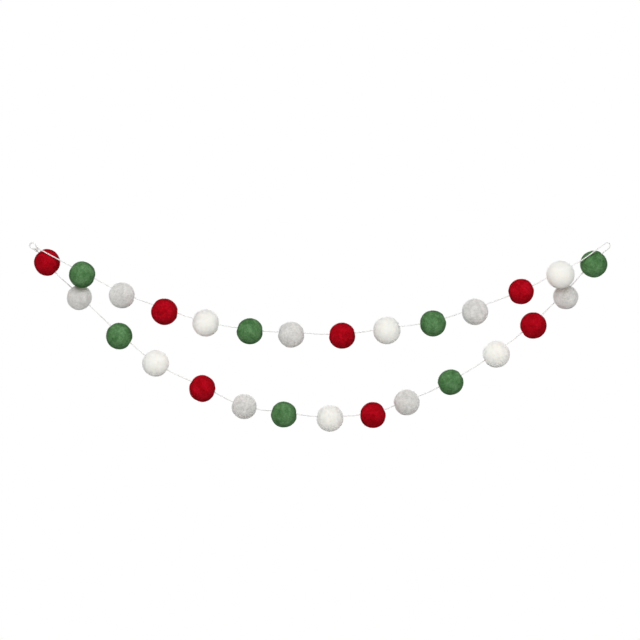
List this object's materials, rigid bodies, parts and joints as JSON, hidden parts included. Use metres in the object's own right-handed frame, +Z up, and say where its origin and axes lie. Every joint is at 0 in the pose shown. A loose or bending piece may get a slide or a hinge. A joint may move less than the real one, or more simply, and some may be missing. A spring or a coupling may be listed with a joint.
{
  "type": "felt ball garland",
  "caption": "Garland of round wool felt balls threaded apart on a thin string, with a small tied loop at each end, hung in two swags from two level points.",
  "frame": {"origin": "left hang point, the middle of the nail or hook that both end loops hang on, in the plane of the back swag", "axes": "+X along the span towards the right hang point, +Z up, -Y towards the viewer"},
  "size_m": [0.5486, 0.0397, 0.1788],
  "materials": {
    "felt_green": "matt wool felt, mid green",
    "felt_grey": "matt wool felt, light heather grey",
    "felt_red": "matt wool felt, deep red",
    "felt_white": "matt wool felt, natural white",
    "string": "twisted string, off-white"
  },
  "bodies": {
    "root": {"ball_01_green": "felt_green", "ball_02_grey": "felt_grey", "ball_03_red": "felt_red", "ball_04_white": "felt_white", "ball_05_green": "felt_green", "ball_06_grey": "felt_grey", "ball_07_red": "felt_red", "ball_08_white": "felt_white", "ball_09_green": "felt_green", "ball_10_grey": "felt_grey", "ball_11_red": "felt_red", "ball_12_white": "felt_white", "ball_13_green": "felt_green", "ball_14_grey": "felt_grey", "ball_15_red": "felt_red", "ball_16_white": "felt_white", "ball_17_green": "felt_green", "ball_18_grey": "felt_grey", "ball_19_red": "felt_red", "ball_20_white": "felt_white", "ball_21_green": "felt_green", "ball_22_grey": "felt_grey", "ball_23_red": "felt_red", "ball_24_white": "felt_white", "ball_25_green": "felt_green", "ball_26_grey": "felt_grey", "ball_27_red": "felt_red", "string": "string", "end_loop_front": "string", "end_loop_back": "string"}
  },
  "joints": []
}
